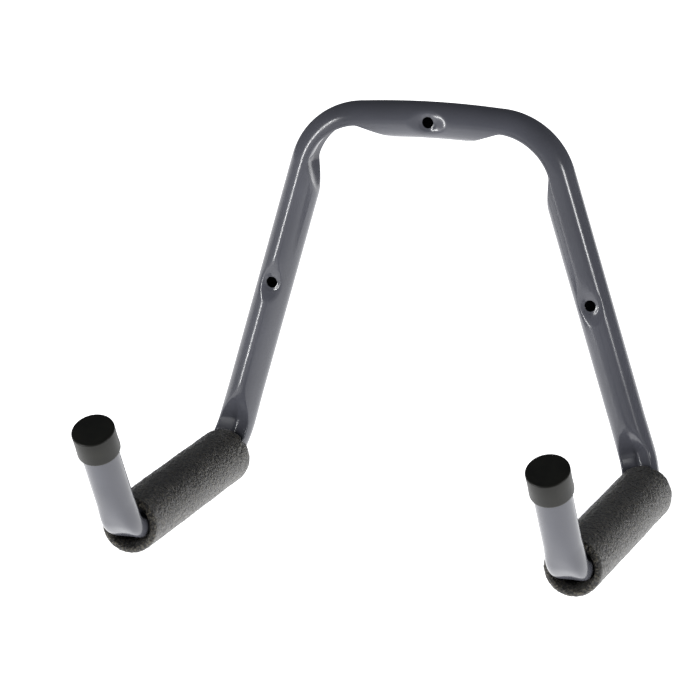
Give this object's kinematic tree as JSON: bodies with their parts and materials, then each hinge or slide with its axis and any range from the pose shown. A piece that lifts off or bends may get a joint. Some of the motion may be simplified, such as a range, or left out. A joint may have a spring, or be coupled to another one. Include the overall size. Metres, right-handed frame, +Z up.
{
  "type": "wall guitar hanger",
  "caption": "Wall hanger of bent steel tube: inverted U frame for wall screws, forward arms in foam sleeves and upturned tips with push-on caps, to hold an instrument or gear.",
  "frame": {"origin": "on the wall plane, on the axis of the top screw hole, midway between the legs", "axes": "+X to the right as seen from the room, +Y into the wall, +Z up"},
  "size_m": [0.3026, 0.2362, 0.2466],
  "materials": {
    "painted_tube": "gloss powder coat, violet grey",
    "foam": "matt closed-cell foam with a grained skin",
    "vinyl_cap": "satin dipped vinyl"
  },
  "bodies": {
    "root": {"frame_tube": "painted_tube", "foam_sleeve_left": "foam", "foam_sleeve_right": "foam", "end_cap_left": "vinyl_cap", "end_cap_right": "vinyl_cap"}
  },
  "joints": []
}
